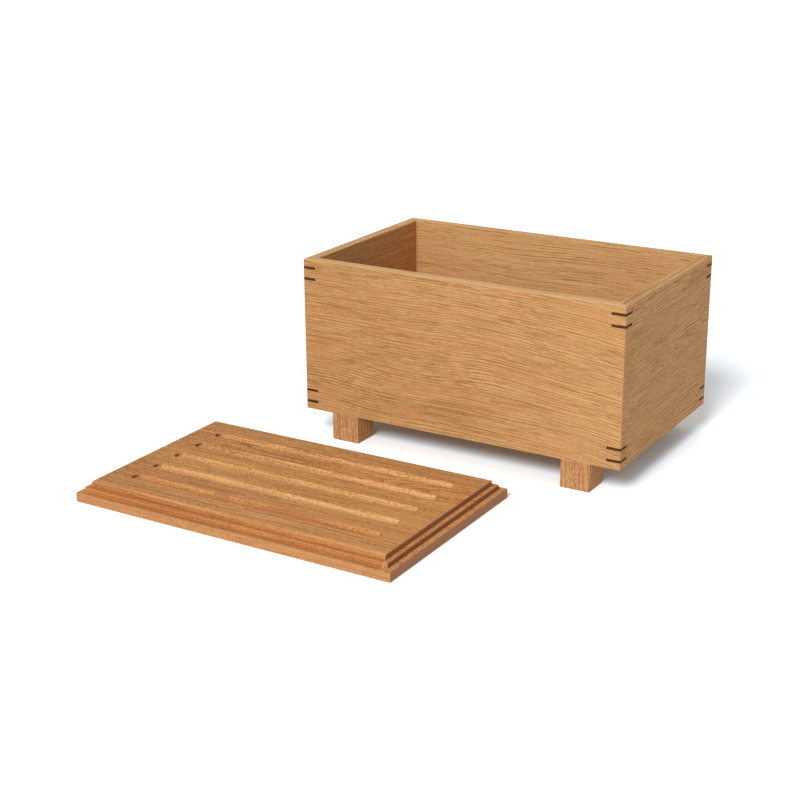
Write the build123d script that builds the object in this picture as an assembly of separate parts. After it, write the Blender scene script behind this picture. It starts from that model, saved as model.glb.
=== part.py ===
from build123d import *
import os

# A wooden storage box with keyed mitre corners and four block feet, and its
# loose lid, a stepped board with grooves, lying upside down in front of it.
# Millimetres, +Z up, floor at Z = 0. The origin is on the floor, in the
# middle of the ground that the box and the lid cover together.

# Box body
box_length = 380.0
box_depth = 234.0
body_height = 172.0
wall_thickness = 12.0
wall_arris = 0.6

# Bottom panel, let in flush from below
bottom_thickness = 10.0
bottom_rebate = 6.0

# Feet
foot_side = 33.0
foot_height = 31.0
foot_end_inset = 33.5
foot_setback = 0.8
foot_arris = 0.8

# Dowels between the feet and the bottom panel
dowel_radius = 4.0
dowel_length = 24.0
dowel_in_panel = 7.5
dowel_spacing = 16.0
dowel_from_foot_front = 20.0
dowel_bevel = 1.0
glue_gap = 0.05
glue_well = 0.5

# Keys across the mitres, as heights of their middles above the walls' lower edge
key_thickness = 3.0
key_leg = 15.4
key_heights = (162.8, 150.4, 22.3, 9.3)

# Lid: a plate with two steps, the smaller of which drops into the box
lid_length = 373.0
lid_depth = 229.0
plate_thickness = 10.0
outer_step_height = 5.1
outer_step_tread = 6.5
inner_step_height = 5.4
inner_step_tread = 5.2
lid_arris = 0.6
lid_offset_x = -96.0
lid_offset_y = -283.5

# Grooves, cut with a round-nosed cutter
groove_count = 5
groove_pitch = 34.8
groove_length = 298.0
groove_depth = 3.0
cutter_radius = 8.0

# Glue joints between the lid's staves, from its front edge
stave_joints = (73.0, 134.0, 195.5)

# Worked out from the sizes above
well_length = box_length - 2 * wall_thickness
well_depth = box_depth - 2 * wall_thickness
lid_thickness = plate_thickness + outer_step_height + inner_step_height
ground_left = lid_offset_x - lid_length / 2
ground_front = lid_offset_y - lid_depth / 2
box_x = -(ground_left + box_length / 2) / 2
box_y = -(ground_front + box_depth / 2) / 2
box_place = Pos(box_x, box_y, foot_height)
lid_place = Pos(box_x + lid_offset_x, box_y + lid_offset_y, 0)

ON_TOP_OF_PLANE = (Align.CENTER, Align.CENTER, Align.MIN)
CORNERS = {
    "front_left": (-1, -1),
    "front_right": (1, -1),
    "back_right": (1, 1),
    "back_left": (-1, 1),
}
WALLS = ("front_wall", "right_wall", "back_wall", "left_wall")


def slab(length, depth, height, z=0.0):
    """A block centred over the origin, standing on the level z."""
    return Pos(0, 0, z) * Box(length, depth, height, align=ON_TOP_OF_PLANE)


def prism(points, height, z=0.0):
    """A plan outline raised from the level z."""
    outline = make_face(Polyline(*points, close=True))
    return Pos(0, 0, z) * extrude(outline, amount=height, dir=(0, 0, 1))


def plan_corner(name, length, depth):
    """One corner of a centred rectangle in plan."""
    side_x, side_y = CORNERS[name]
    return (side_x * length / 2, side_y * depth / 2)


# The body is drawn about its own centre, with the walls' lower edge at zero.


def eased_block():
    """The body's outside, with every arris eased."""
    block = slab(box_length, box_depth, body_height)
    return chamfer(block.edges(), wall_arris)


def wall_ring():
    """All four walls in one, rebated below for the bottom panel."""
    ring = eased_block() - slab(well_length, well_depth, body_height)
    rim = ring.faces().sort_by(Axis.Z)[-1]
    ring = chamfer(rim.inner_wires()[0].edges(), wall_arris)
    rebate = slab(
        well_length + 2 * bottom_rebate,
        well_depth + 2 * bottom_rebate,
        bottom_thickness,
    )
    return ring - rebate


def key_triangle(corner, height):
    """The triangle, as thick as a key, that a slot takes out of a corner."""
    x, y = plan_corner(corner, box_length, box_depth)
    side_x, side_y = CORNERS[corner]
    points = [(x, y), (x - side_x * key_leg, y), (x, y - side_y * key_leg)]
    return prism(points, key_thickness, height - key_thickness / 2)


def corner_key(corner, height):
    """A key trimmed flush with both walls and their eased arris."""
    return key_triangle(corner, height) & eased_block()


def key_slots():
    """Every slot, sawn after the walls are glued up round the panel."""
    return [key_triangle(corner, height) for corner in CORNERS for height in key_heights]


def mitred_wall(index, ring):
    """One wall cut out of the ring on its mitres, with its key slots."""
    names = list(CORNERS)
    first = names[index]
    second = names[(index + 1) % len(names)]
    sector = [
        plan_corner(first, box_length, box_depth),
        plan_corner(second, box_length, box_depth),
        plan_corner(second, well_length, well_depth),
        plan_corner(first, well_length, well_depth),
    ]
    wall = ring & prism(sector, body_height)
    for slot in key_slots():
        wall -= slot
    return wall


def foot_centre(corner):
    """The middle of a foot in plan."""
    side_x, side_y = CORNERS[corner]
    x = box_length / 2 - foot_end_inset - foot_side / 2
    y = box_depth / 2 - foot_setback - foot_side / 2
    return (side_x * x, side_y * y)


def dowel_axes():
    """Where the dowels stand in plan, two to a foot."""
    axes = []
    for corner, (_, side_y) in CORNERS.items():
        x, y = foot_centre(corner)
        inward = dowel_from_foot_front - foot_side / 2
        for side in (-1, 1):
            axes.append((x + side * dowel_spacing / 2, y - side_y * inward))
    return axes


def dowel_holes():
    """The drillings for all the dowels, a little deeper than the dowels."""
    drill = Cylinder(
        dowel_radius + glue_gap,
        dowel_length + 2 * glue_well,
        align=ON_TOP_OF_PLANE,
    )
    low = dowel_in_panel - dowel_length - glue_well
    return [Pos(x, y, low) * drill for x, y in dowel_axes()]


def foot_dowels():
    """Bevelled pegs, half hidden in the feet and half in the panel."""
    peg = Cylinder(dowel_radius, dowel_length, align=ON_TOP_OF_PLANE)
    peg = chamfer(peg.edges().filter_by(GeomType.CIRCLE), dowel_bevel)
    low = dowel_in_panel - dowel_length
    return Compound(children=[Pos(x, y, low) * peg for x, y in dowel_axes()])


def bottom_panel():
    """The panel that closes the body from below."""
    panel = slab(
        well_length + 2 * bottom_rebate,
        well_depth + 2 * bottom_rebate,
        bottom_thickness,
    )
    for cut in dowel_holes() + key_slots():
        panel -= cut
    return panel


def foot(corner):
    """A square block under one corner, eased below and up its sides."""
    block = slab(foot_side, foot_side, foot_height, -foot_height)
    top_edges = block.edges().group_by(Axis.Z)[-1]
    eased = [edge for edge in block.edges() if edge not in top_edges]
    block = chamfer(eased, foot_arris)
    x, y = foot_centre(corner)
    block = Pos(x, y, 0) * block
    for hole in dowel_holes():
        block -= hole
    return block


# The lid is drawn about its own centre, lying on its plate with the steps up.


def rim_rebate(inset, z):
    """What is planed off round the edge above z to leave a smaller step."""
    height = lid_thickness - z
    whole = slab(lid_length, lid_depth, height, z)
    return whole - slab(lid_length - 2 * inset, lid_depth - 2 * inset, height, z)


def stepped_board():
    """The lid in one piece, with both rebates and eased arrises."""
    board = slab(lid_length, lid_depth, lid_thickness)
    board -= rim_rebate(outer_step_tread, plate_thickness)
    both_treads = outer_step_tread + inner_step_tread
    board -= rim_rebate(both_treads, plate_thickness + outer_step_height)
    arrises = board.edges().filter_by(Axis.Z)
    for level in board.faces().filter_by(Axis.Z):
        arrises += level.outer_wire().edges()
    return chamfer(arrises, lid_arris)


def groove_cut():
    """What the round-nosed cutter sweeps from one end of a groove to the other."""
    axis_height = lid_thickness + cutter_radius - groove_depth
    half_width = (cutter_radius**2 - (cutter_radius - groove_depth) ** 2) ** 0.5
    run = groove_length - 2 * half_width
    half = [
        Line((-run / 2 - cutter_radius, 0), (run / 2 + cutter_radius, 0)),
        CenterArc((run / 2, 0), cutter_radius, 0, 90),
        Line((run / 2, cutter_radius), (-run / 2, cutter_radius)),
        CenterArc((-run / 2, 0), cutter_radius, 90, 90),
    ]
    return Pos(0, 0, axis_height) * revolve(make_face(half), Axis.X)


def grooved_board():
    """The stepped board with its row of grooves."""
    board = stepped_board()
    cut = groove_cut()
    for index in range(groove_count):
        y = (index - (groove_count - 1) / 2) * groove_pitch
        board -= Pos(0, y, 0) * cut
    return board


def lid_staves():
    """The boards that the lid is glued up from, front to back."""
    board = grooved_board()
    edges = [0.0, *stave_joints, lid_depth]
    staves = []
    for front, back in zip(edges, edges[1:]):
        y = (front + back) / 2 - lid_depth / 2
        staves.append(board & Pos(0, y, 0) * slab(lid_length, back - front, lid_thickness))
    return staves


def save(name, shape):
    """Write one sub-part."""
    export_step(shape, f"parts/{name}.step")


os.makedirs("parts", exist_ok=True)

ring = wall_ring()
for index, name in enumerate(WALLS):
    save(name, box_place * mitred_wall(index, ring))
save("bottom_panel", box_place * bottom_panel())
save("foot_dowels", box_place * foot_dowels())
for corner in CORNERS:
    save(f"foot_{corner}", box_place * foot(corner))
    for number, height in enumerate(key_heights, start=1):
        save(f"corner_key_{corner}_{number}", box_place * corner_key(corner, height))
for number, stave in enumerate(lid_staves(), start=1):
    save(f"lid_stave_{number}", lid_place * stave)
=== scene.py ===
# %% [markdown]
# # A keyed oak box and its loose lid
#
# The real object is a small storage box of solid oak. Four boards are mitred at the corners, and thin
# dark keys are let into saw cuts across each mitre, to lock it. Four square blocks lift the box off the
# table. The lid is a separate board, glued up from four staves. Two steps run round one of its faces, so
# that it drops into the box, and five grooves are cut along that face. Here the lid lies on its back in
# front of the box, with the steps and the grooves showing.
#
# The solids come from the CAD model, in metres and in their right places. This script gives them their
# looks: the way each board was sawn, the oil or lacquer on it, and the soft edges of the grooved lid.

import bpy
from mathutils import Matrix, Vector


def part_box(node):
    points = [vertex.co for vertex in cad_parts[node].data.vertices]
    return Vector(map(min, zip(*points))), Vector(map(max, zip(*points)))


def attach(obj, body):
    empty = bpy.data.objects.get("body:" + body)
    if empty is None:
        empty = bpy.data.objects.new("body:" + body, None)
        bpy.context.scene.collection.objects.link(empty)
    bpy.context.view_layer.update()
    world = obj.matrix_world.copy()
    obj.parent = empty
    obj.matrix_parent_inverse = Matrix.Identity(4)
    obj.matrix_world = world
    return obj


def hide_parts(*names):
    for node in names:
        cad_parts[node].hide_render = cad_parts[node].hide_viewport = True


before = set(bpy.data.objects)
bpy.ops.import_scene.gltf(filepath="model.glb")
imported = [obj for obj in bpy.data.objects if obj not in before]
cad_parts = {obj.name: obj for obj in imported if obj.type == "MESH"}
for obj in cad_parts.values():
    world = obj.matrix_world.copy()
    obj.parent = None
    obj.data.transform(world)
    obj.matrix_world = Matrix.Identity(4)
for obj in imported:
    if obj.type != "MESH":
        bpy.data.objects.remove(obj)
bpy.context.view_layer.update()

# %% [markdown]
# ## Camera
#
# A long lens, well back, keeps the box from looking taller at its near corner. The camera stands to the
# front and right, a little over half a metre above the table, and looks down by about 19 degrees. A tiny
# roll is left in, because a tripod head is never quite level.

# %% Camera
import math
import bpy
from mathutils import Vector

lens_mm = 70.7
camera_place = Vector((0.8084, -1.3462, 0.6224))
camera_turn = [math.radians(angle) for angle in (70.70, 0.37, 31.09)]

camera = bpy.data.objects.new("camera", bpy.data.cameras.new("camera"))
camera.data.lens = lens_mm
camera.location = camera_place
camera.rotation_euler = camera_turn
bpy.context.scene.collection.objects.link(camera)
bpy.context.scene.camera = camera
print("camera stands", round(camera_place.length, 2), "m from the middle of the floor")

# %% [markdown]
# ## A small language for node trees
#
# A wood finish needs a lot of arithmetic, and arithmetic is easier to read as Python than as a wall of
# boxes and wires. `Field` wraps one output socket, a number that changes over a surface, and overloads
# the operators, so that `1 - mask * 0.3` adds the Math nodes for it.


# %% Fields
class Field:
    """One output socket of a tree, which can be used in sums like a number."""

    def __init__(self, tree, socket):
        self.tree = tree
        self.socket = socket

    def __add__(self, other):
        return self.tree.math("ADD", self, other)

    def __radd__(self, other):
        return self.tree.math("ADD", other, self)

    def __sub__(self, other):
        return self.tree.math("SUBTRACT", self, other)

    def __rsub__(self, other):
        return self.tree.math("SUBTRACT", other, self)

    def __mul__(self, other):
        return self.tree.math("MULTIPLY", self, other)

    def __rmul__(self, other):
        return self.tree.math("MULTIPLY", other, self)

    def __truediv__(self, other):
        return self.tree.math("DIVIDE", self, other)

    def __mod__(self, other):
        return self.tree.math("FLOORED_MODULO", self, other)

    def __pow__(self, other):
        return self.tree.math("POWER", self, other)

    def __abs__(self):
        return self.tree.math("ABSOLUTE", self)


print("operators of a field:", sum(callable(part) for part in vars(Field).values()) - 1)

# %% [markdown]
# `Tree` wraps a node tree and has one method that adds any node: its settings are set first, then the
# values or links of its sockets. The shorthands under it are the few nodes that a finish keeps asking
# for. The same two classes serve the world, the shaders and, further on, the tree that cuts the grooves.


# %% Trees
class Tree:
    """A node tree, for a material or for geometry."""

    def __init__(self, nodes_of):
        self.nodes = nodes_of.nodes
        self.links = nodes_of.links
        self.nodes.clear()

    def socket(self, sockets, key):
        """A socket by its place, its identifier or its name."""
        if isinstance(key, int):
            return sockets[key]
        named = [socket for socket in sockets if key in (socket.identifier, socket.name)]
        return named[0]

    def node(self, kind, settings=None, inputs=None, output=0):
        """Add a node and return one of its outputs."""
        node = self.nodes.new(kind)
        for name, value in (settings or {}).items():
            setattr(node, name, value)
        for key, value in (inputs or {}).items():
            socket = self.socket(node.inputs, key)
            for one in value if isinstance(value, list) else [value]:
                if isinstance(one, Field):
                    self.links.new(one.socket, socket)
                else:
                    socket.default_value = one
        if len(node.outputs) == 0:
            return None
        return Field(self, self.socket(node.outputs, output))

    def inputs(self, names):
        """The inputs of a group, by name."""
        node = self.nodes.new("NodeGroupInput")
        return {name: Field(self, node.outputs[name]) for name in names}

    def math(self, operation, *values):
        """A Math node, fed with numbers or fields."""
        return self.node("ShaderNodeMath", {"operation": operation}, dict(enumerate(values)))

    def smaller(self, first, second):
        return self.math("MINIMUM", first, second)

    def larger(self, first, second):
        return self.math("MAXIMUM", first, second)

    def vector(self, x, y, z):
        """Three fields or numbers as one vector."""
        return self.node("ShaderNodeCombineXYZ", inputs={0: x, 1: y, 2: z})

    def split(self, vector):
        """A vector's three parts."""
        first = self.node("ShaderNodeSeparateXYZ", inputs={0: vector})
        return [Field(self, socket) for socket in first.socket.node.outputs]

    def step(self, value, low, high):
        """0 below low, 1 above high, and a smooth rise between them."""
        settings = {"interpolation_type": "SMOOTHSTEP"}
        return self.node("ShaderNodeMapRange", settings, {"Value": value, "From Min": low, "From Max": high})

    def noise(self, x, y, z, detail=2.0):
        """Soft noise between 0 and 1, with blobs about one unit wide."""
        inputs = {"Vector": self.vector(x, y, z), "Scale": 1.0, "Detail": detail}
        return self.node("ShaderNodeTexNoise", None, inputs, "Fac")

    def cells(self, x, y, z):
        """The distance to the nearest of many scattered points, one in every unit cube."""
        inputs = {"Vector": self.vector(x, y, z), "Scale": 1.0}
        return self.node("ShaderNodeTexVoronoi", None, inputs, "Distance")

    def blend(self, factor, first, second):
        """One colour turning into another."""
        inputs = {"Factor_Float": factor, "A_Color": first, "B_Color": second}
        return self.node("ShaderNodeMix", {"data_type": "RGBA"}, inputs, "Result_Color")


print("shorthands of a tree:", sorted(name for name in vars(Tree) if not name.startswith("_")))

# %% [markdown]
# ## Colours
#
# A screen's numbers for a colour aren't in step with the light it gives off. Shaders reckon in light, so
# every colour is written here as it shows on a screen and goes through the curve of the sRGB standard.

# %% Colours


def colour(red, green, blue):
    """A colour given as it shows on a screen, 0 to 255, in the linear numbers that shaders use."""
    linear = []
    for part in (red, green, blue):
        share = part / 255
        linear.append(share / 12.92 if share <= 0.04045 else ((share + 0.055) / 1.055) ** 2.4)
    return (*linear, 1.0)


print("mid oak in linear numbers:", [round(part, 3) for part in colour(194, 147, 98)])

# %% [markdown]
# ## Light
#
# Two lights do the work of a white studio. The world is an even dome, which reaches into every corner. A
# sun lamp with a wide disc stands for a soft box in front: it brightens what faces forward and throws a
# soft shadow backwards. A white surface square to a sun of strength pi shows as white, so the strengths
# here are shares of pi.
#
# The world shows as white all the same. It asks the Light Path node who is looking: rays from the camera,
# and reflections, see a strength of 1, and the rays that light the wood find the dimmer dome.

# %% Light
dome_strength = 0.45
key_share = 0.78
key_height = math.radians(38.0)
key_side = math.radians(5.0)
key_disc = math.radians(21.0)


def seen(tree):
    """1 on rays from the camera, from gloss and through glass, and 0 on the rays that light things."""
    path = tree.node("ShaderNodeLightPath", output="Is Camera Ray").socket.node
    gloss = Field(tree, path.outputs["Is Glossy Ray"])
    glass = Field(tree, path.outputs["Is Transmission Ray"])
    return tree.larger(Field(tree, path.outputs["Is Camera Ray"]), tree.larger(gloss, glass))


def white_world():
    """An even dome that shows as plain white."""
    world = bpy.data.worlds.new("studio")
    world.use_nodes = True
    tree = Tree(world.node_tree)
    strength = dome_strength + seen(tree) * (1 - dome_strength)
    dome = tree.node("ShaderNodeBackground", None, {"Color": (1, 1, 1, 1), "Strength": strength})
    tree.node("ShaderNodeOutputWorld", None, {"Surface": dome})
    bpy.context.scene.world = world


def key_lamp():
    """A wide sun from the front."""
    lamp = bpy.data.lights.new("key", "SUN")
    lamp.energy = key_share * math.pi
    lamp.angle = key_disc
    key = bpy.data.objects.new("key", lamp)
    key.rotation_euler = (math.pi / 2 - key_height, 0, key_side)
    bpy.context.scene.collection.objects.link(key)


white_world()
key_lamp()
bpy.context.scene.view_settings.view_transform = "Standard"
level_light = dome_strength + key_share * math.sin(key_height)
print("light on a level surface, where 1 shows a colour as written:", round(level_light, 2))

# %% [markdown]
# ## Floor
#
# The floor asks the same question. Rays that light the wood find a white sheet, and the camera sees a
# little more than white, so that only a real shadow brings it down to grey. Light that has come off the
# oak first is as warm as the oak, most of all under the box, behind the strip that the key lamp still
# reaches. The sheet is a little bluer there, which keeps the shadow grey.

# %% Floor
floor_half = 20.0
floor_drop = 0.0002
floor_white = (0.93, 0.93, 0.93, 1.0)
floor_seen = (1.27, 1.34, 1.385, 1.0)
floor_seen_below = (1.12, 1.34, 1.54, 1.0)
shadow_edge = 0.02      # metres on either side of the shadow's outline
lit_depth = 0.02        # how far the key reaches in under the box


def below_box(tree):
    """1 on the floor under the box, behind the strip that the key reaches, and 0 outside."""
    x, y = tree.split(tree.node("ShaderNodeTexCoord", output="Object"))[:2]
    low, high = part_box("bottom_panel")
    low = low + Vector((0, lit_depth, 0))
    middle = (low + high) / 2
    half = (high - low) / 2
    beyond = tree.larger(abs(x - middle.x) - half.x, abs(y - middle.y) - half.y)
    return 1 - tree.step(beyond, -shadow_edge, shadow_edge)


def white_floor():
    """A white sheet just under the object."""
    ends = (-floor_half, floor_half)
    corners = [(x, y, -floor_drop) for y in ends for x in ends]
    mesh = bpy.data.meshes.new("floor")
    mesh.from_pydata(corners, [], [(0, 1, 3, 2)])
    floor = bpy.data.objects.new("floor", mesh)
    bpy.context.scene.collection.objects.link(floor)
    paint = bpy.data.materials.new("floor_white")
    paint.use_nodes = True
    tree = Tree(paint.node_tree)
    bright = tree.blend(below_box(tree), floor_seen, floor_seen_below)
    white = tree.blend(seen(tree), floor_white, bright)
    sheet = tree.node("ShaderNodeBsdfDiffuse", None, {"Color": white})
    tree.node("ShaderNodeOutputMaterial", None, {"Surface": sheet})
    mesh.materials.append(paint)
    return floor


white_floor()
print("floor:", 2 * floor_half, "m wide,", floor_drop, "m below the feet")

# %% [markdown]
# ## How a board was sawn
#
# Wood looks right when it is solid all the way through, so that a line of grain on one face carries on
# round the edge. A tree is a stack of cones round its heart: each year adds a ring. A `Board` says which
# way the fibres run, where the heart of the tree lay beside the board, and how wide the rings are. From
# that, every point of the board gets its place in the tree:
#
# - `along`, `across` and `through`: millimetres along the fibres, over the board's width, and through it,
#   bent by the slow sway of the fibres, which turns straight stripes into living ones;
# - `early`: high where spring wood, with its wide open vessels, starts a new ring;
# - `end`, `edge` and `level`: high on end grain, on the board's narrow edges, and on level faces.

# %% Boards
from dataclasses import dataclass


@dataclass
class Board:
    """How one board was sawn from the tree. Lengths are in millimetres."""

    fibre: str                  # the axis that the fibres follow
    across: str                 # the axis of the board's width
    middle: tuple               # its middle, in metres
    heart: tuple                # the tree's heart from the middle: across the board, and through it
    ring: float = 2.6           # width of a year's growth
    sway: float = 16.0          # how far the fibres wander
    bow: float = 0.0            # how far the grain dips at the far end
    rows: float = 0.6           # how plainly the rings show
    paler: float = 0.0          # how much the colour lightens towards the far end
    shade: float = 0.0          # how much lighter the whole board is
    fine: float = 0.9           # width of the streaks
    contrast: float = 1.0       # how far the streaks reach from dark to light
    blotch: float = 0.3         # how much of that is in broad bands
    lines: float = 1.6          # how plain the long streaks are
    specks: float = 1.0         # how plain the short flecks are
    thread: float = 40.0        # length of the thin single lines
    threads: float = 0.5        # how dark they are
    grit: float = 2.6           # length of the short flecks
    dash: float = 10.0          # length of the short streaks
    dashes: float = 1.2         # how plain they are
    rays: float = 0.2           # how plain the pale flecks are
    edge: float = 0.3           # how much paler the faces across the width are, as painted light
    seed: float = 0.0           # shifts every pattern, so that no two boards match


@dataclass
class Grain:
    """The fields that every finish is made from."""

    along: Field
    across: Field
    through: Field
    early: Field
    end: Field
    edge: Field
    level: Field


print("numbers that tell one board from another:", len(Board.__dataclass_fields__))

# %% [markdown]
# Three small rules turn a point into its place in the tree. Two slow noises push the point sideways, so
# the fibres wander. The distance from the heart, divided by the width of a year's growth and made a
# little uneven, counts the rings. And the way a surface faces tells end grain from a board's faces.

# %% Place in the tree
AXES = {"x": 0, "y": 1, "z": 2}
TO_MM = 1000.0
HALF_BOARD = 190.0      # millimetres over which a board changes from its middle to its end
SWAY_LENGTH = 240.0     # the fibres wander over such lengths and widths
SWAY_WIDTH = 120.0
SWAY_SHIFT = 7.0        # sets the second noise apart from the first
RING_DRIFT = 400.0      # length over which the rings change their width
RING_UNEVEN = 2.5       # how many rings that shifts them by
SPRING_SHARE = 0.5      # the share of a ring that is spring wood
FACING = (0.25, 0.85)   # how squarely a surface faces along an axis, from hardly to fully


def box_middle(node):
    """The middle of the box round a CAD node, in metres."""
    low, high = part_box(node)
    return tuple((low + high) / 2)


def read_grain(tree, board):
    """Work out where a point of the board lay in the tree."""
    fibre = AXES[board.fibre]
    across = AXES[board.across]
    through = 3 - fibre - across
    coordinates = tree.node("ShaderNodeTexCoord", output="Object")
    place = [(part - middle) * TO_MM for part, middle in zip(tree.split(coordinates), board.middle)]
    u = place[fibre]
    v = place[across]
    w = place[through]
    drift = tree.noise(u / SWAY_LENGTH + board.seed, v / SWAY_WIDTH, w / SWAY_WIDTH, detail=1.0)
    other = w / SWAY_WIDTH + SWAY_SHIFT
    shift = tree.noise(u / SWAY_LENGTH, v / SWAY_WIDTH + board.seed, other, detail=1.0)
    reach = tree.larger(u, 0) / HALF_BOARD
    v = v + (drift - 0.5) * board.sway + reach * reach * board.bow
    w = w + (shift - 0.5) * board.sway
    from_heart = ((v - board.heart[0]) ** 2 + (w - board.heart[1]) ** 2) ** 0.5
    uneven = tree.noise(from_heart / (board.ring * 3) + board.seed, u / RING_DRIFT, 0, detail=2.0)
    rings = from_heart / board.ring + uneven * RING_UNEVEN
    early = 1 - tree.step(rings % 1, 0.0, SPRING_SHARE)
    normal = tree.split(tree.node("ShaderNodeTexCoord", output="Normal"))
    end = tree.step(abs(normal[fibre]), *FACING)
    edge = tree.step(abs(normal[across]), *FACING)
    return Grain(u, v, w, early, end, edge, abs(normal[2]))


print("middle of the front wall:", [round(part * TO_MM, 1) for part in box_middle("front_wall")], "mm")

# %% [markdown]
# ## Oak
#
# Oak is ring-porous: its spring wood is a row of vessels wide enough to see. Cut along the fibres, each
# vessel is a fine dark dash, a few millimetres long, which finish sinks into. Cut across, it is a dot.
# Stretching a cell pattern along the fibres gives both at once, and pale rays are made in the same way.
# Between the dashes run long and short streaks, flecks and single dark threads, each a noise stretched to
# its own length, and the whole board drifts slowly between a yellow, a red and a pink brown.
#
# End grain drinks more oil and turns darker. Arrises are rubbed a little lighter by hands and cloths. The
# faces across a board's width, such as the walls' rims, are made paler as painted light.
# Everything else on a board is a list of stains, each a mask and the colour that it brings, and some of them
# are painted light too.

# %% Tones of oak


@dataclass
class Tone:
    """The colours and the polish of one kind of oak."""

    light: tuple
    dark: tuple
    warm: tuple
    pink: tuple
    pore: tuple
    end: tuple
    # the colour of the painted light and sheen on the faces across a board's width
    painted_edge_light: tuple = colour(228, 180, 124)
    roughness: float = 0.6


STREAK_LENGTH = 160.0       # millimetres, as are the lengths and widths below
HUE_SIZE = (240.0, 30.0)
PATCH_SIZE = (90.0, 14.0)
PINK_SIZE = (60.0, 12.0)
VESSEL_SIZE = (6.0, 0.55)
RAY_SIZE = (9.0, 1.1)
RAY_SHIFT = 40.0            # sets the rays apart from the vessels
LONG_WIDTH = 1.1            # widths of streaks and threads, where 1 is the board's own `fine`
SHORT_WIDTH = 0.8
BAND_WIDTH = 7.0
THREAD_WIDTH = 1.4
WARM_SHARE = 0.3            # how much of each colour goes into the wood at most
PINK_SHARE = 0.25
PORE_SHARE = 0.5
END_SHARE = 0.9
WORN_SHARE = 0.25
WORN_WIDTH = (0.4, 1.6)     # millimetres from an arris, from rubbed to not
BUMP_HEIGHT = 0.00012       # metres
DULL = 0.05                 # specular level of a matt finish
print("a vessel is", VESSEL_SIZE[0], "mm long and", VESSEL_SIZE[1], "mm wide")

# %% [markdown]
# The finish blends these colours one after another. Each blend has a mask, a number between 0 and 1 that
# says how much of the next colour shows at a point. The roughness and a very shallow bump read the same
# masks, so that a vessel is dark, dull and sunk in one and the same place. `lightness` decides between
# the dark and the light tone first: around 0.5 it is the sum of all streaks, less the rings.

# %% Oak finish


def arris_distance(tree, low, high):
    """Millimetres from a point on a block's surface to the nearest arris."""
    coordinates = tree.node("ShaderNodeTexCoord", output="Object")
    gaps = []
    for part, near, far in zip(tree.split(coordinates), low, high):
        gaps.append(tree.smaller(abs(part - near), abs(far - part)) * TO_MM)
    a, b, c = gaps
    return tree.larger(tree.smaller(a, b), tree.smaller(tree.larger(a, b), c))


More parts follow.
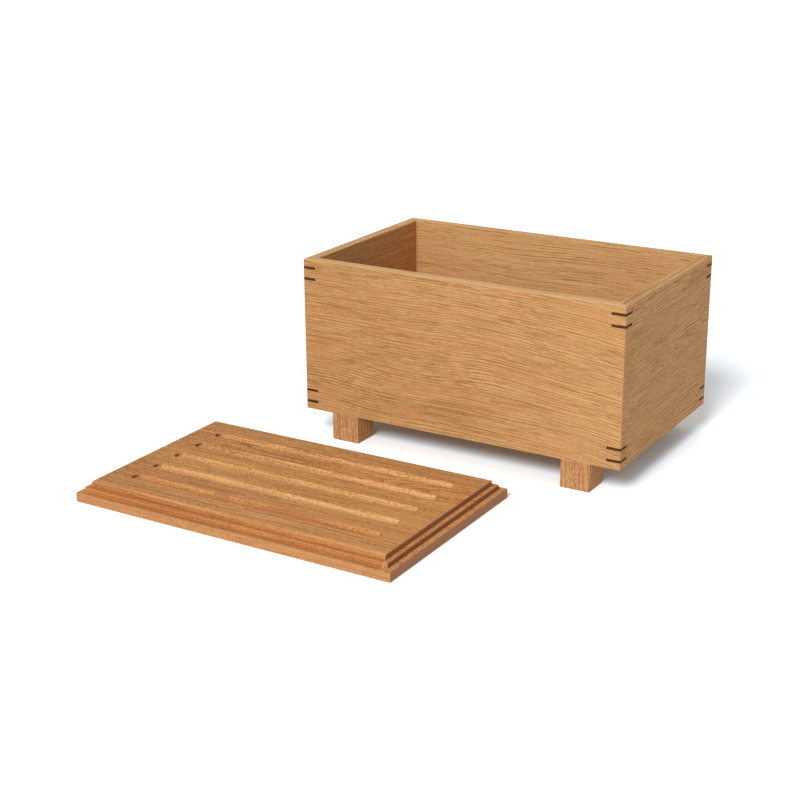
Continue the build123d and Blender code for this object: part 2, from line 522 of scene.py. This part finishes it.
def oak(name, board, tone, low, high, stains=()):
    """An oak finish for a board in a block from low to high. A stain is a mask and its colour."""
    material = bpy.data.materials.new(name)
    material.use_nodes = True
    tree = Tree(material.node_tree)
    grain = read_grain(tree, board)
    u, v, w = grain.along, grain.across, grain.through

    fine = board.fine
    length = u / STREAK_LENGTH + board.seed
    long_streak = tree.noise(length, v / fine / LONG_WIDTH, w / fine / LONG_WIDTH, detail=1.0)
    side = v / fine / SHORT_WIDTH + board.seed
    short_streak = tree.noise(u / board.dash, side, w / fine / SHORT_WIDTH, detail=1.0)
    band = tree.noise(length, v / fine / BAND_WIDTH, w / fine / BAND_WIDTH, detail=1.0)
    hue_length, hue_width = HUE_SIZE
    hue = tree.noise(u / hue_length, v / hue_width + board.seed, w / hue_width, detail=1.0)
    patch_length, patch_width = PATCH_SIZE
    patch = tree.noise(u / patch_length, v / patch_width, w / patch_width + board.seed, detail=1.0)
    patch = tree.step(patch, 0.3, 0.6)
    speck = tree.noise(u / board.grit, v / fine, w / fine + board.seed, detail=1.0)
    side = v / fine / THREAD_WIDTH + board.seed
    thread = tree.noise(u / board.thread, side, w / fine / THREAD_WIDTH, detail=1.0)
    thread = tree.step(thread, 0.55, 0.66)
    streaks = (long_streak - 0.5) * board.lines + (short_streak - 0.5) * board.dashes
    streaks = streaks + (speck - 0.5) * board.specks + (band - 0.5) * board.blotch
    rows = (grain.early - 0.25) * (patch * 0.6 + 0.4) * board.rows + thread * board.threads
    drift = u / HALF_BOARD * board.paler
    lightness = 0.5 + board.shade + (streaks - rows) * board.contrast + drift

    vessel_length, vessel_width = VESSEL_SIZE
    vessel = tree.cells(u / vessel_length, v / vessel_width, w / vessel_width)
    vessel = 1 - tree.step(vessel, 0.16, 0.36)
    ray_length, ray_width = RAY_SIZE
    ray = tree.cells(u / ray_length + RAY_SHIFT, v / ray_width, w / ray_width)
    ray = 1 - tree.step(ray, 0.10, 0.30)
    open_pore = vessel * (grain.early * 0.75 + 0.25)

    wood = tree.blend(tree.step(lightness, -0.15, 1.15), tone.dark, tone.light)
    pink_length, pink_width = PINK_SIZE
    pink = tree.noise(u / pink_length, v / pink_width + board.seed, w / pink_width, detail=1.0)
    wood = tree.blend(tree.step(hue, 0.35, 0.75) * WARM_SHARE, wood, tone.warm)
    wood = tree.blend(tree.step(pink, 0.4, 0.7) * PINK_SHARE, wood, tone.pink)
    # Painted light and sheen: the faces across the board's width (the walls' rims, the feet's sides, the
    # lid's long faces) are made paler.
    wood = tree.blend(grain.edge * board.edge, wood, tone.painted_edge_light)
    wood = tree.blend(ray * board.rays, wood, tone.light)
    wood = tree.blend(open_pore * PORE_SHARE, wood, tone.pore)
    end = tree.blend(grain.early * 0.4 + (speck - 0.5) * 0.8, tone.end, tone.pore)
    wood = tree.blend(grain.end * END_SHARE, wood, end)
    for mask, stain in stains:
        wood = tree.blend(mask(tree, grain), wood, stain)
    worn = 1 - tree.step(arris_distance(tree, low, high), *WORN_WIDTH)
    wood = tree.blend(worn * WORN_SHARE, wood, tone.light)

    roughness = tone.roughness + (short_streak - 0.5) * 0.25 + open_pore * 0.15 - worn * 0.06
    height = short_streak * 0.35 - open_pore * 0.8
    normal = tree.node(
        "ShaderNodeBump",
        None,
        {"Strength": 0.5, "Distance": BUMP_HEIGHT, "Height": height},
    )
    shader = tree.node(
        "ShaderNodeBsdfPrincipled",
        None,
        {"Base Color": wood, "Roughness": roughness, "Normal": normal, "Specular IOR Level": DULL},
    )
    tree.node("ShaderNodeOutputMaterial", None, {"Surface": shader})
    return material


def dress(node, material):
    """Give a CAD node its finish."""
    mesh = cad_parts[node].data
    mesh.materials.clear()
    mesh.materials.append(material)


print("nodes to dress:", len(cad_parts))

# %% [markdown]
# ## The box's boards
#
# The walls are pale, quiet oak under a matt lacquer. All four were sawn with the rings standing steeply
# in the board, so their lines run straight from end to end. The grain runs round the box: left to right
# in the front and back walls, front to back in the side walls. The rims of the front and left walls are
# painted paler, as painted light from above. On the left wall the back half of the inner face is redder, and
# gets a stain.

# %% Box walls
BOX_TONE = Tone(
    light=colour(214, 170, 115),
    dark=colour(158, 110, 65),
    warm=colour(190, 136, 84),
    pink=colour(208, 148, 104),
    pore=colour(118, 76, 46),
    end=colour(150, 105, 66),
    painted_edge_light=colour(232, 192, 140),
)
WALLS = ("front_wall", "right_wall", "back_wall", "left_wall")

box_low = Vector(min(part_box(wall)[0][axis] for wall in WALLS) for axis in range(3))
box_high = Vector(max(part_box(wall)[1][axis] for wall in WALLS) for axis in range(3))

WALL_CUTS = {
    "front_wall": {
        "fibre": "x", "heart": (-260, 150), "ring": 2.5, "bow": 15.0, "rows": 0.8, "fine": 0.7,
        "contrast": 0.95, "edge": 0.46, "paler": 0.1, "shade": -0.04, "seed": 3.1,
    },
    "right_wall": {
        "fibre": "y", "heart": (-300, -120), "ring": 2.4, "rows": 1.8, "dashes": 2.4, "fine": 0.72,
        "lines": 2.0, "specks": 1.8, "blotch": 0.1, "threads": 0.8, "edge": 0.0, "shade": -0.04,
        "seed": 14.2,
    },
    "back_wall": {
        "fibre": "x", "heart": (-280, -140), "ring": 3.0, "rows": 0.7, "blotch": 0.8, "edge": 0.0,
        "shade": 0.38, "seed": 23.9,
    },
    "left_wall": {
        "fibre": "y", "heart": (-240, 160), "ring": 3.0, "shade": 0.05, "edge": 0.2, "seed": 37.3,
    },
}
RED_REACH = (-60.0, 80.0)   # millimetres along the wall, from plain to red
RED_SHARE = 0.25


def redder(tree, grain):
    """The back half of the left wall's inner face, which is redder."""
    x = tree.split(tree.node("ShaderNodeTexCoord", output="Object"))[0]
    inner = tree.math("GREATER_THAN", x, box_middle("left_wall")[0])
    return tree.step(grain.along, *RED_REACH) * inner * (1 - grain.edge) * RED_SHARE


wall_stains = {"left_wall": [(redder, colour(206, 116, 70))]}
for wall, cut in WALL_CUTS.items():
    board = Board(across="z", middle=box_middle(wall), **cut)
    stains = wall_stains.get(wall, ())
    dress(wall, oak(f"{wall}_oak", board, BOX_TONE, box_low, box_high, stains))
print("box walls:", [round(side * TO_MM, 1) for side in box_high - box_low], "mm")

# %% [markdown]
# ## Bottom panel
#
# The panel is let in from below and comes from the same oak as the walls. Its fibres run along the box,
# as a real one's would, so that it swells across the box and not along it.

# %% Bottom panel
panel = Board(fibre="x", across="y", middle=box_middle("bottom_panel"), heart=(30, -90), seed=51.0)
dress("bottom_panel", oak("bottom_panel_oak", panel, BOX_TONE, *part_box("bottom_panel")))
panel_low, panel_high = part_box("bottom_panel")
print("bottom panel:", [round(side * TO_MM, 1) for side in panel_high - panel_low], "mm")

# %% [markdown]
# ## Feet
#
# Each foot is a short length of square stock set on end, so its fibres stand upright and its rings sweep
# across the block in tight curves.

# %% Feet
FOOT_TONE = Tone(
    light=colour(208, 158, 108),
    dark=colour(146, 98, 62),
    warm=colour(186, 128, 86),
    pink=colour(198, 138, 98),
    pore=colour(112, 66, 38),
    end=colour(136, 92, 58),
)
FEET = ("foot_front_left", "foot_front_right", "foot_back_right", "foot_back_left")

for number, foot in enumerate(FEET):
    block = Board(
        fibre="z",
        across="x",
        middle=box_middle(foot),
        heart=(-40 - 12 * number, 35),
        ring=3.2,
        sway=14.0,
        rows=0.45,
        contrast=1.1,
        lines=0.9,
        dash=4.0,
        dashes=2.2,
        # painted light: the sides facing along x are made a little paler
        edge=0.12,
        seed=60.0 + 9 * number,
    )
    dress(foot, oak(f"{foot}_oak", block, FOOT_TONE, *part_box(foot)))
print("feet:", len(FEET))

# %% [markdown]
# ## Keys and dowels
#
# The keys are slips of a dark wood, close in texture and much darker than the oak. The dowels in the
# feet are turned beech. They are hidden in the finished box, but they are real pieces and get a finish.
# Both woods are too fine for vessels to show, so a streak and a speck are enough.

# %% Keys and dowels
speck_side = 0.7
speck_height = 0.4
pore_depth = 0.00008


def plain_wood(name, light, dark, fibre_length, fibre_width, roughness):
    """A close-grained wood with fine streaks and no open vessels."""
    material = bpy.data.materials.new(name)
    material.use_nodes = True
    tree = Tree(material.node_tree)
    coordinates = tree.node("ShaderNodeTexCoord", output="Object")
    x, y, z = (part * TO_MM for part in tree.split(coordinates))
    streak = tree.noise((x + y) / fibre_length, z / fibre_width, (x - y) / fibre_length)
    speck = tree.noise(x / speck_side, y / speck_side, z / speck_height)
    wood = tree.blend(tree.step(streak, 0.3, 0.7), dark, light)
    gloss = roughness + (speck - 0.5) * 0.3
    normal = tree.node(
        "ShaderNodeBump",
        None,
        {"Strength": 0.4, "Distance": pore_depth, "Height": speck},
    )
    shader = tree.node(
        "ShaderNodeBsdfPrincipled",
        None,
        {"Base Color": wood, "Roughness": gloss, "Normal": normal, "Specular IOR Level": DULL},
    )
    tree.node("ShaderNodeOutputMaterial", None, {"Surface": shader})
    return material


key_wood = plain_wood("key_dark_wood", colour(98, 60, 31), colour(62, 37, 19), 9.0, 0.8, 0.6)
keys = sorted(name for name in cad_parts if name.startswith("corner_key_"))
for key in keys:
    dress(key, key_wood)
dowel_wood = plain_wood("dowel_beech", colour(214, 174, 132), colour(186, 142, 100), 6.0, 1.0, 0.55)
dress("foot_dowels", dowel_wood)
print("keys:", len(keys))

# %% [markdown]
# ## The lid's blank
#
# The lid is a stepped board. Its outline is a stack of three rectangles, each smaller than the one below,
# with every outer arris rounded. Lofting it is the surest way: walk up the section from the underside,
# lay one rounded rectangle at each station, and skin neighbouring loops with quads. The plan corners get
# the same small radius, which shrinks to a point where the loop climbs over an arris.

# %% Stepped board
import bmesh

plate_height = 0.0100
outer_step_height = 0.0051
outer_step_tread = 0.0065
inner_step_tread = 0.0052
arris_radius = 0.0006
least_radius = 0.00003
arris_steps = 4
LID_STAVES = ("lid_stave_1", "lid_stave_2", "lid_stave_3", "lid_stave_4")

lid_low = Vector(min(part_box(stave)[0][axis] for stave in LID_STAVES) for axis in range(3))
lid_high = Vector(max(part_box(stave)[1][axis] for stave in LID_STAVES) for axis in range(3))
lid_middle = (lid_low + lid_high) / 2
LEVELS = (
    (0.0, 0.0, plate_height),
    (outer_step_tread, plate_height, plate_height + outer_step_height),
    (outer_step_tread + inner_step_tread, plate_height + outer_step_height, lid_high.z),
)


def section():
    """The stations up the board's edge: height, inset, and what the rounding has taken off there."""
    quarter = [math.radians(90 * step / arris_steps) for step in range(arris_steps + 1)]
    stations = []
    for turn in quarter:
        lost = arris_radius * (1 - math.sin(turn))
        stations.append((arris_radius * (1 - math.cos(turn)), lost, lost))
    for inset, low, high in LEVELS:
        if low > 0:
            stations.append((low, inset, 0.0))
        for turn in quarter:
            lost = arris_radius * (1 - math.cos(turn))
            stations.append((high - arris_radius * (1 - math.sin(turn)), inset + lost, lost))
    return stations


def rounded_rectangle(half_x, half_y, radius):
    """The plan points of a rectangle with rounded corners, anticlockwise."""
    points = []
    for quarter, (side_x, side_y) in enumerate(((1, 1), (-1, 1), (-1, -1), (1, -1))):
        for step in range(arris_steps + 1):
            turn = math.radians(90 * (quarter + step / arris_steps))
            x = side_x * (half_x - radius) + radius * math.cos(turn)
            y = side_y * (half_y - radius) + radius * math.sin(turn)
            points.append((lid_middle.x + x, lid_middle.y + y))
    return points


def stepped_board():
    """The whole lid as one closed mesh, before it is cut."""
    shape = bmesh.new()
    half = (lid_high - lid_low) / 2
    loops = []
    for height, inset, lost in section():
        radius = max(arris_radius - lost, least_radius)
        plan = rounded_rectangle(half.x - inset, half.y - inset, radius)
        loops.append([shape.verts.new((x, y, height)) for x, y in plan])
    for lower, upper in zip(loops, loops[1:]):
        for i in range(len(lower)):
            j = (i + 1) % len(lower)
            shape.faces.new((lower[i], lower[j], upper[j], upper[i]))
    shape.faces.new(reversed(loops[0]))
    shape.faces.new(loops[-1])
    mesh = bpy.data.meshes.new("stepped_board")
    shape.to_mesh(mesh)
    shape.free()
    return mesh


blank = stepped_board()
print("blank:", len(blank.polygons), "faces from", len(section()), "stations")

# %% [markdown]
# ## Cutting the grooves
#
# A groove is what a round-nosed cutter leaves when it is lowered into the board, run along and lifted
# out: a sausage-shaped hollow. The five grooves follow one rule, an even pitch, so Geometry Nodes cut
# them. The tree makes one cutter by pulling the halves of a ball apart, sets copies of it along a line,
# and takes them out of the board with a Boolean. Another Boolean saws the board into its staves.
#
# Where a cutter meets the face it leaves a knife edge that sandpaper takes off. The Boolean knows those
# edges, so the tree marks them, and a Bevel modifier rounds only the marked ones.

# %% Groove tree
groove_count = 5
groove_pitch = 0.0348
groove_length = 0.298
groove_depth = 0.003
cutter_radius = 0.008
sanded_edge = 0.00035
sharp_angle = math.radians(32)
ball_segments = 96
ball_rings = 49         # odd, so that no ring lies on the plane where the ball is pulled apart

SIZES = {
    "Board": "NodeSocketGeometry",
    "Stave Middle": "NodeSocketVector",
    "Stave Size": "NodeSocketVector",
    "Groove Count": "NodeSocketInt",
    "First Groove": "NodeSocketVector",
    "Pitch": "NodeSocketFloat",
    "Run": "NodeSocketFloat",
    "Cutter Radius": "NodeSocketFloat",
    "Finish": "NodeSocketMaterial",
}


def groove_tree():
    """Build the tree that saws out a stave and cuts its grooves."""
    group = bpy.data.node_groups.new("grooved_stave", "GeometryNodeTree")
    for name, kind in SIZES.items():
        group.interface.new_socket(name, in_out="INPUT", socket_type=kind)
    group.interface.new_socket("Stave", in_out="OUTPUT", socket_type="NodeSocketGeometry")
    tree = Tree(group)
    given = tree.inputs(SIZES)

    slab = tree.node("GeometryNodeMeshCube", None, {"Size": given["Stave Size"]})
    slab = tree.node("GeometryNodeTransform", None, {"Geometry": slab, "Translation": given["Stave Middle"]})
    stave = tree.node(
        "GeometryNodeMeshBoolean",
        {"operation": "INTERSECT", "solver": "EXACT"},
        {"Mesh 2": [given["Board"], slab]},
    )

    ball = tree.node(
        "GeometryNodeMeshUVSphere",
        None,
        {"Segments": ball_segments, "Rings": ball_rings, "Radius": given["Cutter Radius"]},
    )
    ball = tree.node("GeometryNodeTransform", None, {"Geometry": ball, "Rotation": (0, math.pi / 2, 0)})
    x = tree.split(tree.node("GeometryNodeInputPosition"))[0]
    pull = tree.math("SIGN", x) * given["Run"] / 2
    cutter = tree.node(
        "GeometryNodeSetPosition",
        None,
        {"Geometry": ball, "Offset": tree.vector(pull, 0, 0)},
    )
    line = tree.node(
        "GeometryNodeMeshLine",
        None,
        {
            "Count": given["Groove Count"],
            "Start Location": given["First Groove"],
            "Offset": tree.vector(0, given["Pitch"], 0),
        },
    )
    cutters = tree.node("GeometryNodeInstanceOnPoints", None, {"Points": line, "Instance": cutter})
    cutters = tree.node("GeometryNodeRealizeInstances", None, {"Geometry": cutters})
    cut = tree.node(
        "GeometryNodeMeshBoolean",
        {"operation": "DIFFERENCE", "solver": "EXACT"},
        {"Mesh 1": stave, "Mesh 2": [cutters]},
    )
    rim = Field(tree, cut.socket.node.outputs["Intersecting Edges"])
    marked = tree.node(
        "GeometryNodeStoreNamedAttribute",
        {"data_type": "FLOAT", "domain": "EDGE"},
        {"Geometry": cut, "Selection": rim, "Name": "bevel_weight_edge", "Value": 1.0},
    )
    smooth = tree.node(
        "GeometryNodeSetShadeSmooth",
        {"domain": "FACE"},
        {"Geometry": marked, "Shade Smooth": True},
    )
    angle = tree.node("GeometryNodeInputMeshEdgeAngle", output="Unsigned Angle")
    corner = tree.math("GREATER_THAN", angle, sharp_angle)
    creased = tree.node(
        "GeometryNodeSetShadeSmooth",
        {"domain": "EDGE"},
        {"Geometry": smooth, "Selection": corner, "Shade Smooth": False},
    )
    whole = tree.node("GeometryNodeRealizeInstances", None, {"Geometry": creased})
    finished = tree.node("GeometryNodeSetMaterial", None, {"Geometry": whole, "Material": given["Finish"]})
    tree.node("NodeGroupOutput", None, {"Stave": finished})
    return group


grooving = groove_tree()
print("groove tree:", len(grooving.nodes), "nodes")

# %% [markdown]
# ## Sawing and grooving a stave
#
# Each stave runs through the tree once, with a slab that cuts it out of the blank and with the grooves
# that lie over it. At the lid's rim the slab reaches past the blank, so that only the glue joints are
# sawn. The result is turned into a plain mesh, and it stands in for the CAD stave of the same number.

# %% Grooved staves
half_width = math.sqrt(cutter_radius**2 - (cutter_radius - groove_depth) ** 2)
axis_height = lid_high.z + cutter_radius - groove_depth
middle_groove = (groove_count - 1) / 2
groove_lines = [lid_middle.y + (i - middle_groove) * groove_pitch for i in range(groove_count)]
slab_margin = 0.01      # how far the slab reaches past the lid's rim, in metres
touching = 1e-5         # how close to the rim a stave counts as the outer one


def stave_piece(name, node, material):
    """One stave, sawn and grooved, as a plain mesh."""
    low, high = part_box(node)
    inside = [y for y in groove_lines if low.y < y < high.y]
    at_ends = Vector((slab_margin, 0, slab_margin))
    front = 0 if low.y > lid_low.y + touching else slab_margin
    back = 0 if high.y < lid_high.y - touching else slab_margin
    low = low - at_ends - Vector((0, front, 0))
    high = high + at_ends + Vector((0, back, 0))
    values = {
        "Stave Middle": (low + high) / 2,
        "Stave Size": high - low,
        "Groove Count": len(inside),
        "First Groove": (lid_middle.x, inside[0] if inside else 0.0, axis_height),
        "Pitch": groove_pitch,
        "Run": groove_length - 2 * half_width,
        "Cutter Radius": cutter_radius,
        "Finish": material,
    }
    piece = bpy.data.objects.new(name, blank.copy())
    bpy.context.scene.collection.objects.link(piece)
    cut = piece.modifiers.new("grooves", "NODES")
    cut.node_group = grooving
    for item in grooving.interface.items_tree:
        if item.in_out == "INPUT" and item.name in values:
            cut[item.identifier] = values[item.name]
    sand = piece.modifiers.new("sanded_rims", "BEVEL")
    sand.limit_method = "WEIGHT"
    sand.width = sanded_edge
    sand.segments = 2
    even = piece.modifiers.new("even_shading", "WEIGHTED_NORMAL")
    even.keep_sharp = True
    depsgraph = bpy.context.evaluated_depsgraph_get()
    final = bpy.data.meshes.new_from_object(piece.evaluated_get(depsgraph), depsgraph=depsgraph)
    piece.modifiers.clear()
    piece.data = final
    final.name = name
    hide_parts(node)
    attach(piece, "lid")
    print(name, "has", len(inside), "grooves and", len(final.polygons), "faces")


print("a groove is", round(2 * half_width * TO_MM, 1), "mm wide")

# %% [markdown]
# ## Where the tools have been
#
# A stain needs to know where on the lid it is. Two masks say so, in millimetres from the lid's middle:
# one for the insides of the grooves, one for the steps. Both begin a hair's breadth below the face, and
# both end above the underside, which no tool has touched.

# %% Grooves and steps as masks
SKIN = (0.1, 0.9)           # millimetres below the face, from untouched to cut
SLACK = 0.5                 # millimetres past the deepest cut
PLATE_RIM = (-0.4, -0.05)   # millimetres from the plate's face, from the plate to the steps
RIM_SLACK = 0.1


def place_on_lid(tree):
    """Millimetres along and across the lid from its middle, and up from its underside."""
    x, y, z = tree.split(tree.node("ShaderNodeTexCoord", output="Object"))
    return (x - lid_middle.x) * TO_MM, (y - lid_middle.y) * TO_MM, z * TO_MM


def hollow(tree):
    """The insides of the grooves."""
    along, across, height = place_on_lid(tree)
    depth = lid_high.z * TO_MM - height
    cut = tree.step(depth, *SKIN) * tree.math("LESS_THAN", depth, groove_depth * TO_MM + SLACK)
    row_side = (groove_pitch * middle_groove + half_width) * TO_MM
    in_length = tree.math("LESS_THAN", abs(along), groove_length / 2 * TO_MM)
    return cut * in_length * tree.math("LESS_THAN", abs(across), row_side)


def steps(tree):
    """The steps round the rim, and how much of that is at the lid's two ends."""
    along, across, height = place_on_lid(tree)
    below = tree.step(lid_high.z * TO_MM - height, *SKIN)
    above_plate = tree.step(height - plate_height * TO_MM, *PLATE_RIM)
    both_treads = (outer_step_tread + inner_step_tread) * TO_MM
    half = (lid_high - lid_low) / 2 * TO_MM
    at_ends = tree.math("GREATER_THAN", abs(along), half.x - both_treads - RIM_SLACK)
    at_sides = tree.math("GREATER_THAN", abs(across), half.y - both_treads - RIM_SLACK)
    region = below * above_plate * tree.larger(at_ends, at_sides)
    return region, region * at_ends


print("steps:", round((outer_step_tread + inner_step_tread) * TO_MM, 1), "mm wide together")

# %% [markdown]
# ## Patches and dark ends in the grooves
#
# The grooves are painted paler than the oiled face, in patches and flecks: partly newly cut wood, partly
# painted sheen and light on their walls. In the front stave they get a red streak instead. The ends of
# each groove are darker: right across at the left end, and at the back of the groove at the right end.

# %% Paler grooves and dark groove ends
CUT_PATCH = (50.0, 10.0)    # length and width in millimetres
CUT_FLECK = (3.0, 1.1)
PATCH_SPREAD = 0.7          # how far patches and flecks reach from pale to plain
FLECK_SPREAD = 3.6
STAVE_HALF = 30.0
BEHIND = (0.5, 3.5)         # millimetres behind a groove's middle line, from plain to dark
DARK_END_LEFT = (1.2, 4.2)    # millimetres from the groove's left end, from dark to plain
DARK_END_TAIL = (3.5, 8.0)    # the same, for the fainter tail behind
DARK_END_RIGHT = (1.5, 4.0)   # millimetres from the right end
TAIL_SHARE = 0.5
RIGHT_SHARE = 0.9


def pale_cut_and_sheen(strength, rise, forward):
    """Paler patches in the grooves, partly newly cut wood and partly painted sheen and light, rising to the
    lid's right and to its front.
    """

    def mask(tree, grain):
        length, width = CUT_PATCH
        patches = tree.noise(grain.along / length, grain.across / width, 0)
        length, width = CUT_FLECK
        flecks = tree.noise(grain.along / length, grain.across / width, 5, detail=1.0)
        amount = strength + (patches - 0.5) * PATCH_SPREAD + (flecks - 0.5) * FLECK_SPREAD
        amount = amount + grain.along / HALF_BOARD * rise - grain.across / STAVE_HALF * forward
        return hollow(tree) * tree.larger(amount, 0.0)

    return mask


def dark_groove_ends(tree, grain):
    """The ends of a groove, which are darker, most of all behind its middle line."""
    along, across = place_on_lid(tree)[:2]
    half_length = groove_length / 2 * TO_MM
    pitch = groove_pitch * TO_MM
    behind = tree.step((across + pitch / 2) % pitch - pitch / 2, *BEHIND)
    left = 1 - tree.step(along + half_length, *DARK_END_LEFT)
    tail = (1 - tree.step(along + half_length, *DARK_END_TAIL)) * behind * TAIL_SHARE
    right = (1 - tree.step(half_length - along, *DARK_END_RIGHT)) * behind * RIGHT_SHARE
    return hollow(tree) * tree.larger(tree.larger(left, tail), right)


print("scorched:", DARK_END_LEFT[1], "mm at a groove's left end and", DARK_END_RIGHT[1], "mm at its right")

# %% [markdown]
# ## Stains on the steps and the rim
#
# The steps drink more oil than the face, so their treads are redder and their end grain is dark, with
# torn fibre ends on the treads that catch the light. The plate's long sides are a little darker and
# greyer, and the front of the face is rubbed paler. Each of these is a mask for one stain.

# %% Steps and rim
TREAD_SHARE = 0.25          # how much of its stain a step takes,
LEVEL_SHARE = 0.1           # how much more where it is level,
RISE_SHARE = 0.4            # how much more again, a rise above the plate,
RISE = 10.0                 # in millimetres,
ENDS_LOSS = 0.2             # and how much less at the lid's ends
RISER_SHARE = 0.75
TORN_SIZE = (2.2, 2.6)
TORN_RANGE = (0.5, 0.6)
TORN_SHARE = 0.6
PLANED_SHARE = 0.25
RUBBED_REACH = (2.0, 5.0)   # millimetres behind the front of the face, from pale to plain
RUBBED_SHARE = 0.4
FACE_RIM = (-0.8, -0.2)     # millimetres from the face, from the steps to the face


def tread(tree, grain):
    """The steps, which are a little redder than the face, most of all the upper one."""
    everywhere, at_ends = steps(tree)
    rise = (place_on_lid(tree)[2] - plate_height * TO_MM) / RISE
    level = grain.level * (LEVEL_SHARE + rise * RISE_SHARE)
    return everywhere * (TREAD_SHARE + level) - at_ends * ENDS_LOSS


def riser(tree, grain):
    """The end grain of the steps, where the oil went in."""
    return steps(tree)[1] * grain.end * RISER_SHARE


def torn(tree, grain):
    """Fibre ends on the treads at the lid's ends, which catch the light."""
    length, width = TORN_SIZE
    flecks = tree.noise(grain.along / length, grain.across / width, 9, detail=1.0)
    return steps(tree)[1] * (1 - grain.end) * tree.step(flecks, *TORN_RANGE) * TORN_SHARE


def greyer_plate_sides(tree, grain):
    """The long sides of the plate, which are a little darker and greyer."""
    on_plate = tree.math("LESS_THAN", place_on_lid(tree)[2], plate_height * TO_MM)
    return on_plate * grain.edge * PLANED_SHARE


def rubbed(tree, grain):
    """A paler strip along the front of the face."""
    across, height = place_on_lid(tree)[1:]
    edge = ((lid_high.y - lid_low.y) / 2 - outer_step_tread - inner_step_tread) * TO_MM
    on_top = tree.step(height - lid_high.z * TO_MM, *FACE_RIM)
    return (1 - tree.step(edge + across, *RUBBED_REACH)) * on_top * RUBBED_SHARE


print("rubbed strip:", RUBBED_REACH[1], "mm")

# %% [markdown]
# ## The lid's staves
#
# The four staves came from different parts of the tree, and the eye catches it: the front one is redder,
# and the third has a wavy flame where the rings lie almost flat in the board. So each has a `Tone` and a
# cut of its own. What they share is written once.

# %% Staves
LID_TONES = (
    {"light": colour(208, 152, 94), "dark": colour(154, 101, 60), "warm": colour(190, 122, 70)},
    {"light": colour(214, 160, 98), "dark": colour(156, 104, 58), "warm": colour(188, 126, 72)},
    {"light": colour(212, 156, 96), "dark": colour(150, 96, 54), "warm": colour(184, 120, 70)},
    {"light": colour(202, 152, 96), "dark": colour(154, 107, 66), "warm": colour(184, 126, 78)},
)
STAVE_CUTS = (
    {"heart": (-60, 120), "ring": 2.8, "rows": 0.6, "sway": 14.0, "seed": 101.0},
    {"heart": (-140, 90), "ring": 2.8, "rows": 0.6, "sway": 12.0, "seed": 113.0},
    {"heart": (0, -26), "ring": 2.4, "rows": 0.8, "sway": 34.0, "seed": 127.0},
    {"heart": (70, 130), "ring": 2.8, "rows": 0.4, "sway": 12.0, "seed": 139.0},
)
# How the paler patches in each stave's grooves come out: partly newly cut wood, partly painted sheen and
# light.
GROOVE_PATCHES = (
    {"strength": 0.1, "rise": 0.1, "forward": 0.0},
    {"strength": 0.25, "rise": 0.1, "forward": 0.12},
    {"strength": 0.22, "rise": 0.35, "forward": 0.0},
    {"strength": 0.0, "rise": 0.0, "forward": 0.0},
)
RED_STREAK = colour(160, 94, 50)
# a pale colour for the grooves: partly newly cut wood, partly painted sheen and light
PALE_WOOD_AND_SHEEN = colour(226, 178, 124)
GROOVE_STAINS = (RED_STREAK, PALE_WOOD_AND_SHEEN, PALE_WOOD_AND_SHEEN, PALE_WOOD_AND_SHEEN)

for number, node in enumerate(LID_STAVES):
    board = Board(
        fibre="x",
        across="y",
        middle=box_middle(node),
        fine=1.1,
        lines=2.4,
        specks=3.1,
        blotch=1.1,
        thread=130.0,
        threads=0.7,
        grit=2.0,
        dash=6.0,
        dashes=2.6,
        rays=0.35,
        # painted sheen: the lid's long front and back faces are made a little paler
        edge=0.05,
        paler=0.2,
        shade=0.16,
        **STAVE_CUTS[number],
    )
    tone = Tone(
        pink=colour(200, 136, 84),
        pore=colour(102, 60, 32),
        end=colour(166, 122, 94),
        **LID_TONES[number],
    )
    # The first stain in each stave is partly painted sheen and light in the grooves.
    lid_stains = (
        (pale_cut_and_sheen(**GROOVE_PATCHES[number]), GROOVE_STAINS[number]),
        (dark_groove_ends, colour(104, 54, 22)),
        (tread, colour(176, 100, 52)),
        (riser, colour(134, 82, 52)),
        (torn, colour(232, 176, 124)),
        (greyer_plate_sides, colour(168, 126, 94)),
        (rubbed, colour(230, 172, 110)),
    )
    finish = oak(f"{node}_oak", board, tone, lid_low, lid_high, lid_stains)
    stave_piece(f"grooved_stave_{number + 1}", node, finish)

# %% [markdown]
